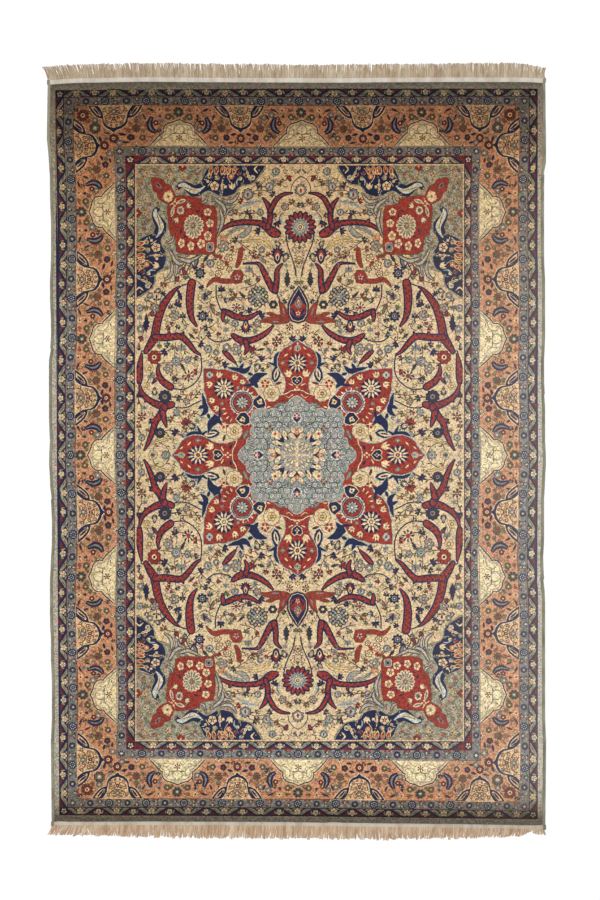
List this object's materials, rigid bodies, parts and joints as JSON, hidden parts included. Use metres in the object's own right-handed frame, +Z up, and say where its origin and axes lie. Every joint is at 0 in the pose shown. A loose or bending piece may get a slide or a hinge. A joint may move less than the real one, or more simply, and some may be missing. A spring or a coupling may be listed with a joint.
{
  "type": "persian rug",
  "caption": "Hand-knotted wool rug with a medallion and corner design, overcast sides and cotton fringes, lying flat.",
  "frame": {"origin": "on the floor under the middle of the whole rug, fringes included", "axes": "+Y along the rug towards its upper fringe, +X across it towards its right side, +Z up from the floor"},
  "size_m": [2.0026, 3.1144, 0.009],
  "materials": {
    "pile_wool": "knotted wool pile",
    "binding_wool": "overcast wool",
    "warp_cotton": "plain cotton"
  },
  "bodies": {
    "root": {"pile": "pile_wool", "binding_left": "binding_wool", "binding_right": "binding_wool", "fringe_upper": "warp_cotton", "fringe_lower": "warp_cotton"}
  },
  "joints": []
}
